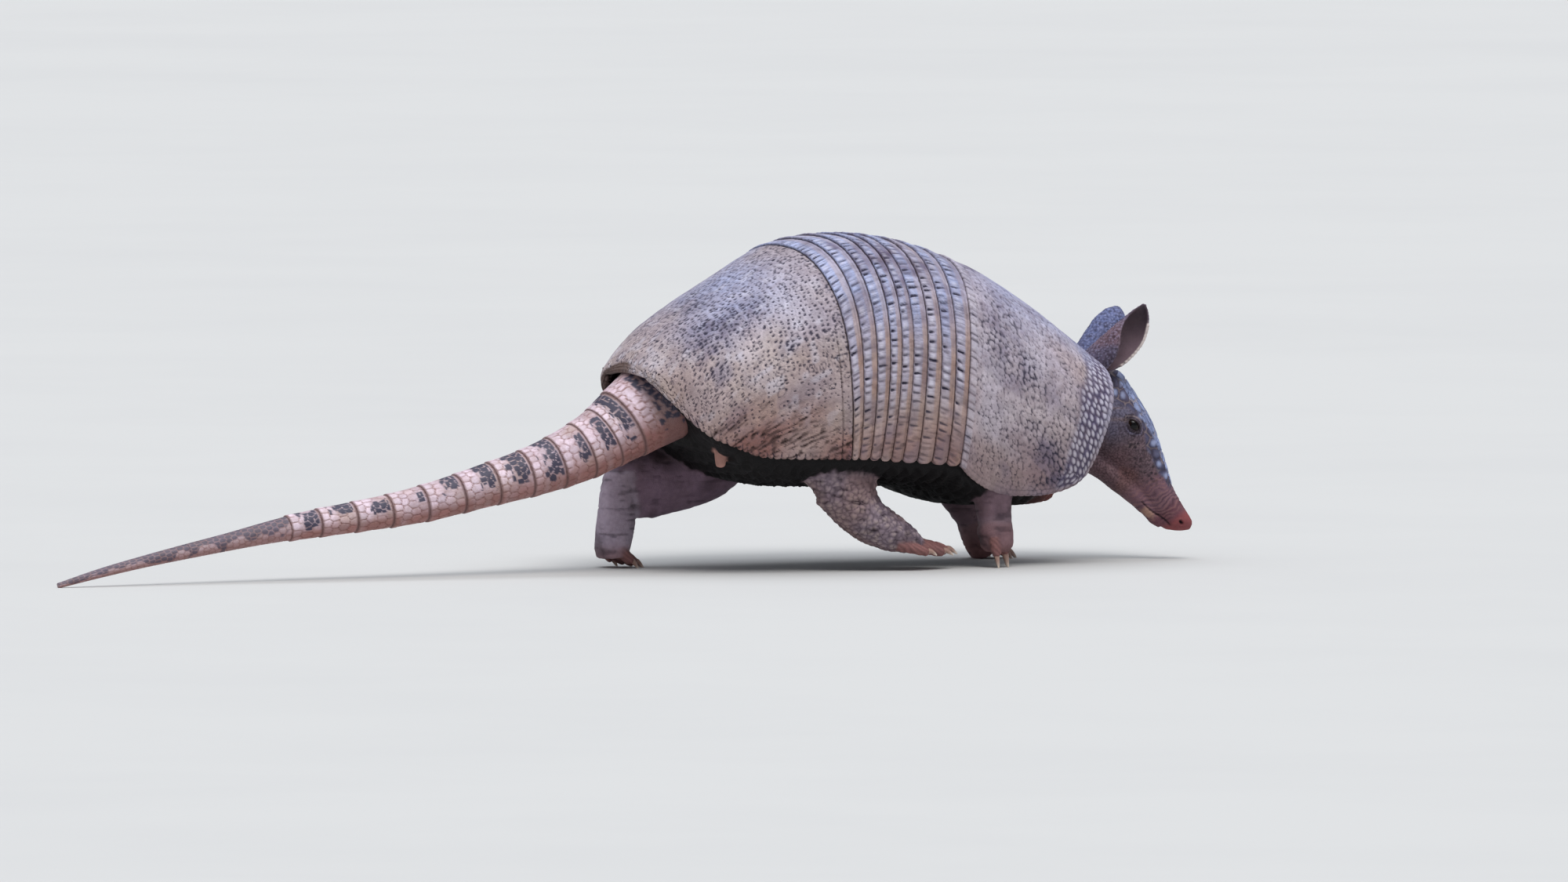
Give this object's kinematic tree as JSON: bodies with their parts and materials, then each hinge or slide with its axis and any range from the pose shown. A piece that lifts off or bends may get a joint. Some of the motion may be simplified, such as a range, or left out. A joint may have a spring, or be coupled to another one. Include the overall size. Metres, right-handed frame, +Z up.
{
  "type": "nine-banded armadillo, still animal model",
  "caption": "Life-size still model of a nine-banded armadillo walking with its nose to the ground: banded bony shell, ringed tail, long head, tulip ears and clawed feet.",
  "frame": {"origin": "middle of the bounding box from nose to tail tip and from side to side, on the ground", "axes": "+X forward, towards the head; +Y the animal's left; +Z up"},
  "size_m": [0.6962, 0.1618, 0.1884],
  "materials": {
    "shell": "bony shell of small horn scutes, satin",
    "tail": "horn scutes, satin",
    "head_scales": "large horn scales, satin",
    "skin": "wrinkled, warty bare skin",
    "eye": "wet, glossy",
    "claw": "horn, satin"
  },
  "bodies": {
    "root": {"pelvic_shield": "shell", "band_1": "shell", "band_2": "shell", "band_3": "shell", "band_4": "shell", "band_5": "shell", "band_6": "shell", "band_7": "shell", "band_8": "shell", "band_9": "shell", "scapular_shield": "shell", "trunk": "skin", "tail_ring_1": "tail", "tail_ring_2": "tail", "tail_ring_3": "tail", "tail_ring_4": "tail", "tail_ring_5": "tail", "tail_ring_6": "tail", "tail_ring_7": "tail", "tail_ring_8": "tail", "tail_ring_9": "tail", "tail_ring_10": "tail", "tail_ring_11": "tail", "tail_ring_12": "tail", "tail_tip_1": "tail", "tail_tip_2": "tail", "head": "skin", "jaw": "skin", "head_shield": "head_scales", "ear_right": "skin", "ear_left": "skin", "eye_right": "eye", "eye_left": "eye", "neck": "skin", "hind_leg_right": "skin", "hind_foot_right": "skin", "hind_claw_right_1": "claw", "hind_claw_right_2": "claw", "hind_claw_right_3": "claw", "hind_claw_right_4": "claw", "hind_claw_right_5": "claw", "hind_leg_left": "skin", "hind_foot_left": "skin", "hind_claw_left_1": "claw", "hind_claw_left_2": "claw", "hind_claw_left_3": "claw", "hind_claw_left_4": "claw", "hind_claw_left_5": "claw", "fore_leg_right": "skin", "fore_foot_right": "skin", "fore_claw_right_1": "claw", "fore_claw_right_2": "claw", "fore_claw_right_3": "claw", "fore_claw_right_4": "claw", "fore_leg_left": "skin", "fore_foot_left": "skin", "fore_claw_left_1": "claw", "fore_claw_left_2": "claw", "fore_claw_left_3": "claw", "fore_claw_left_4": "claw"}
  },
  "joints": []
}
